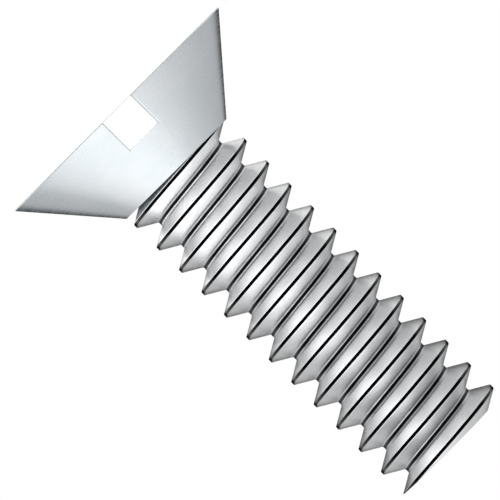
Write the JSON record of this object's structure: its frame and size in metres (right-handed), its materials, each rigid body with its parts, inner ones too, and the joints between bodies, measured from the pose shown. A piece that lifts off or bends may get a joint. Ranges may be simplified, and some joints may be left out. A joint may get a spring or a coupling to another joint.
{
  "type": "flat head machine screw",
  "caption": "Slotted flat head machine screw with a countersunk cone and a right-hand thread up to the head. It holds a plate flush against a tapped hole.",
  "frame": {"origin": "centre of the head's flat face, which the screw stands on", "axes": "+Z along the shank from the head to the tip, Y along the driver slot, X across it"},
  "size_m": [0.0058, 0.0056, 0.0095],
  "materials": {
    "steel": "bright stainless steel, upset and turned head, rolled thread"
  },
  "bodies": {
    "root": {"screw": "steel"}
  },
  "joints": []
}
